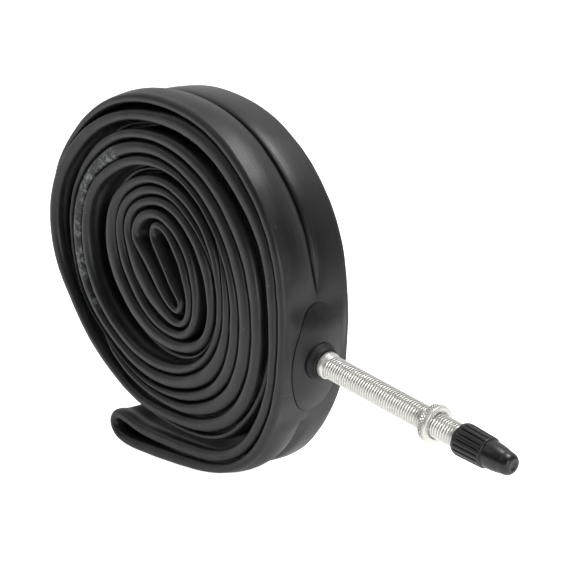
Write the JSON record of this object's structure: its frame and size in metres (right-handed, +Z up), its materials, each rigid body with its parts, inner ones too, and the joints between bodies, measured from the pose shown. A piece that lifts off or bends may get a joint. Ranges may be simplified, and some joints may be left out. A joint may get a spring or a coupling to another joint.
{
  "type": "inner tube",
  "caption": "Bicycle inner tube folded double and rolled up on its edge, with a long threaded Presta valve, knurled rim nut and dust cap.",
  "frame": {"origin": "on the ground plane under the middle of the bounding box of the whole piece, roll and valve together", "axes": "+Z up with the roll standing on its edge, +X towards the valve side, Y along the roll's axis with -Y on the face where the layers' near edges show"},
  "size_m": [0.1658, 0.0234, 0.0971],
  "materials": {
    "butyl": "satin black butyl with a soft sheen and fine extrusion lines",
    "patch_rubber": "matt moulded rubber",
    "boot_rubber": "smooth moulded black rubber",
    "nickel": "bright nickel plate, slightly warm",
    "core_brass": "machined brass",
    "seal_rubber": "matt black seal rubber",
    "cap_plastic": "black moulded plastic, satin gloss"
  },
  "bodies": {
    "tube": {"tube_body": "butyl", "valve_patch": "patch_rubber", "valve_boot": "boot_rubber", "valve_stem": "nickel", "core_body": "core_brass", "core_gasket": "seal_rubber"},
    "rim_nut": {"rim_nut": "nickel"},
    "dust_cap": {"dust_cap": "cap_plastic"},
    "core_nut": {"core_nut": "core_brass"},
    "core_pin": {"core_pin": "core_brass", "core_seal": "seal_rubber"}
  },
  "joints": [
    {"name": "rim_nut_travel", "type": "slide", "parent": "tube", "child": "rim_nut", "axis": [0.9878, 0, -0.1557], "range_m": [-0.0338, 0.0064]},
    {"name": "dust_cap_pull", "type": "slide", "parent": "tube", "child": "dust_cap", "axis": [0.9878, 0, -0.1557], "range_m": [0, 0.022]},
    {"name": "core_nut_turn", "type": "hinge", "parent": "core_pin", "child": "core_nut", "pos_m": [0.07932, -0.0007, 0.02748], "axis": [0.9878, 0, -0.1557], "range_deg": [-1080, 0]},
    {"name": "core_pin_press", "type": "slide", "parent": "tube", "child": "core_pin", "axis": [0.9878, 0, -0.1557], "range_m": [-0.0011, 0]}
  ]
}
